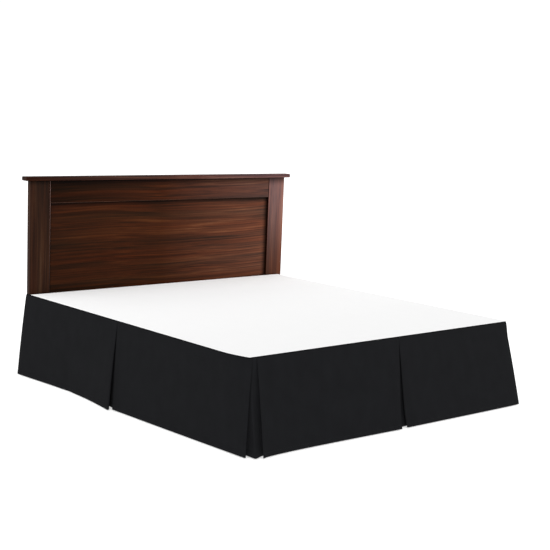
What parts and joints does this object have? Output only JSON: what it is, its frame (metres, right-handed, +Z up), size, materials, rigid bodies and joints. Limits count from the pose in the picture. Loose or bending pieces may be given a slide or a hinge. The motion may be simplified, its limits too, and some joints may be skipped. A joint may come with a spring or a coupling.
{
  "type": "bed skirt on a bed with headboard",
  "caption": "Black tailored bed skirt with a white deck and inverted pleats, laid over a box spring on a steel bed frame with a panelled wooden headboard.",
  "frame": {"origin": "on the floor, at the middle of the part's footprint", "axes": "+X across the bed, +Y along the bed towards the headboard, +Z up"},
  "size_m": [2.1214, 2.1924, 1.1603],
  "materials": {
    "skirt_black": "matt brushed microfibre, near black",
    "platform_white": "plain white woven cloth",
    "box_spring_cover": "off-white woven cover",
    "frame_steel": "dark satin paint",
    "glide_plastic": "black moulded plastic",
    "headboard_wood": "dark walnut stain, satin lacquer"
  },
  "bodies": {
    "root": {"drop_left": "skirt_black", "drop_foot": "skirt_black", "drop_right": "skirt_black", "corner_underlay_left": "skirt_black", "corner_underlay_right": "skirt_black", "deck": "platform_white", "box_spring": "box_spring_cover", "side_rail_left": "frame_steel", "side_rail_right": "frame_steel", "bracket_left": "frame_steel", "bracket_right": "frame_steel", "cross_rail_1": "frame_steel", "cross_rail_2": "frame_steel", "cross_rail_3": "frame_steel", "cross_rail_4": "frame_steel", "cross_rail_5": "frame_steel", "leg_foot_left": "frame_steel", "glide_foot_left": "glide_plastic", "leg_foot_middle": "frame_steel", "glide_foot_middle": "glide_plastic", "leg_foot_right": "frame_steel", "glide_foot_right": "glide_plastic", "leg_centre_left": "frame_steel", "glide_centre_left": "glide_plastic", "leg_centre_middle": "frame_steel", "glide_centre_middle": "glide_plastic", "leg_centre_right": "frame_steel", "glide_centre_right": "glide_plastic", "leg_head_left": "frame_steel", "glide_head_left": "glide_plastic", "leg_head_middle": "frame_steel", "glide_head_middle": "glide_plastic", "leg_head_right": "frame_steel", "glide_head_right": "glide_plastic", "post_left": "headboard_wood", "post_right": "headboard_wood", "frieze_rail": "headboard_wood", "recessed_panel": "headboard_wood", "bottom_rail": "headboard_wood", "cap_rail": "headboard_wood"}
  },
  "joints": []
}
